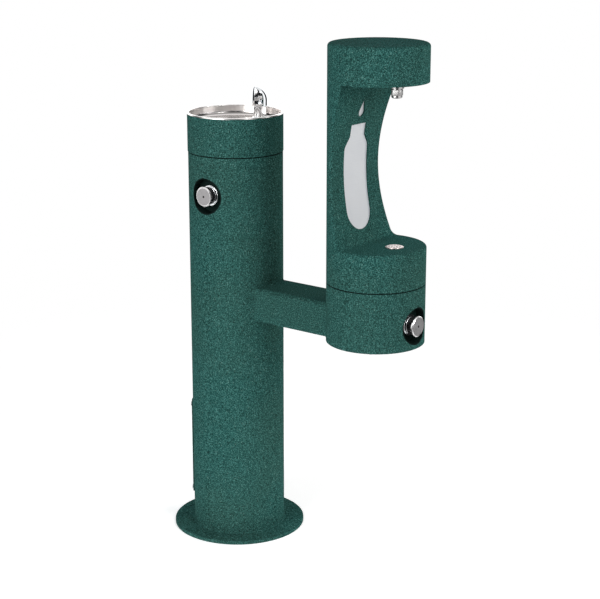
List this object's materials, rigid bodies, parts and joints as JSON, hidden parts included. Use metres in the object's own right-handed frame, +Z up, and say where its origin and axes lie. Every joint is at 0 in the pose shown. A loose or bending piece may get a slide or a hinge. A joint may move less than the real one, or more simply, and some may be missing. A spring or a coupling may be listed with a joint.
{
  "type": "drinking fountain",
  "caption": "Pedestal drinking fountain of steel pipe with a push-button bubbler basin and a bottle filling station carried on a side arm.",
  "frame": {"origin": "pedestal axis at the underside of the base flange, on the floor", "axes": "+Z up, +X along the arm to the bottle filler, whose button and alcove face +X; the fountain's button faces -Y"},
  "size_m": [0.6715, 0.314, 1.19],
  "materials": {
    "evergreen_powder_coat": "textured evergreen powder coat",
    "basin_stainless": "satin stainless",
    "polished_chrome": "polished",
    "button_steel": "brushed face, bright bevel",
    "black_plastic": "moulded black",
    "spring_steel": "drawn wire",
    "valve_brass": "machined",
    "supply_tubing": "natural tubing",
    "drain_hose_rubber": "black rubber",
    "waste_plastic": "white waste pipe",
    "gasket_rubber": "black gasket",
    "sign_satin": "pale satin sheet",
    "zinc_steel": "zinc plated",
    "screw_steel": "stainless screws",
    "seam_black": "black in the seams and the button cups",
    "lever_red": "dipped red lever"
  },
  "bodies": {
    "stand": {"base_flange": "evergreen_powder_coat", "pedestal_tube": "evergreen_powder_coat", "collar_coupling": "seam_black", "top_collar": "evergreen_powder_coat", "basin": "basin_stainless", "basin_strainer": "basin_stainless", "basin_tailpiece": "polished_chrome", "basin_drain_nut": "zinc_steel", "waste_pipe": "waste_plastic", "waste_bracket": "zinc_steel", "bubbler_neck": "polished_chrome", "bubbler_hood": "polished_chrome", "bubbler_jet": "polished_chrome", "bubbler_nut": "valve_brass", "access_panel": "evergreen_powder_coat", "access_gasket": "gasket_rubber", "panel_screws": "screw_steel", "inlet_pipe": "zinc_steel", "stop_valve": "valve_brass", "supply_tee": "valve_brass", "supply_riser": "supply_tubing", "bubbler_tube": "supply_tubing", "filler_supply_tube": "supply_tubing", "nozzle_tube": "supply_tubing", "arm_tube": "evergreen_powder_coat", "filler_can": "evergreen_powder_coat", "can_cover": "evergreen_powder_coat", "can_cover_screws": "screw_steel", "filler_coupling": "seam_black", "column_shell": "evergreen_powder_coat", "alcove_panel": "evergreen_powder_coat", "sign_plate": "sign_satin", "head_floor": "evergreen_powder_coat", "head_cap": "evergreen_powder_coat", "nozzle_body": "polished_chrome", "nozzle_aerator": "black_plastic", "nozzle_nut": "valve_brass", "platform_drain": "basin_stainless", "platform_strainer": "basin_stainless", "drain_hose": "drain_hose_rubber", "fountain_button_cup": "seam_black", "fountain_button_bezel": "polished_chrome", "fountain_return_spring": "spring_steel", "fountain_valve": "valve_brass", "fountain_valve_nut": "zinc_steel", "filler_button_cup": "seam_black", "filler_button_bezel": "polished_chrome", "filler_return_spring": "spring_steel", "filler_valve": "valve_brass", "filler_valve_nut": "zinc_steel"},
    "fountain_push": {"fountain_button": "button_steel", "fountain_plunger": "black_plastic"},
    "filler_push": {"filler_button": "button_steel", "filler_plunger": "black_plastic"},
    "stop_lever": {"stop_handle": "lever_red", "stop_handle_nut": "screw_steel"}
  },
  "joints": [
    {"name": "fountain_button_press", "type": "slide", "parent": "stand", "child": "fountain_push", "axis": [0, 1, 0], "range_m": [0, 0.006], "stiffness_N_per_m": 800, "springref_m": -0.006, "deforming": ["fountain_return_spring"]},
    {"name": "filler_button_press", "type": "slide", "parent": "stand", "child": "filler_push", "axis": [-1, 0, 0], "range_m": [0, 0.006], "stiffness_N_per_m": 800, "springref_m": -0.006, "deforming": ["filler_return_spring"]},
    {"name": "stop_lever_turn", "type": "hinge", "parent": "stand", "child": "stop_lever", "pos_m": [-0.028, -0.049, 0.19], "axis": [-1, 0, 0], "range_deg": [0, 90]}
  ]
}
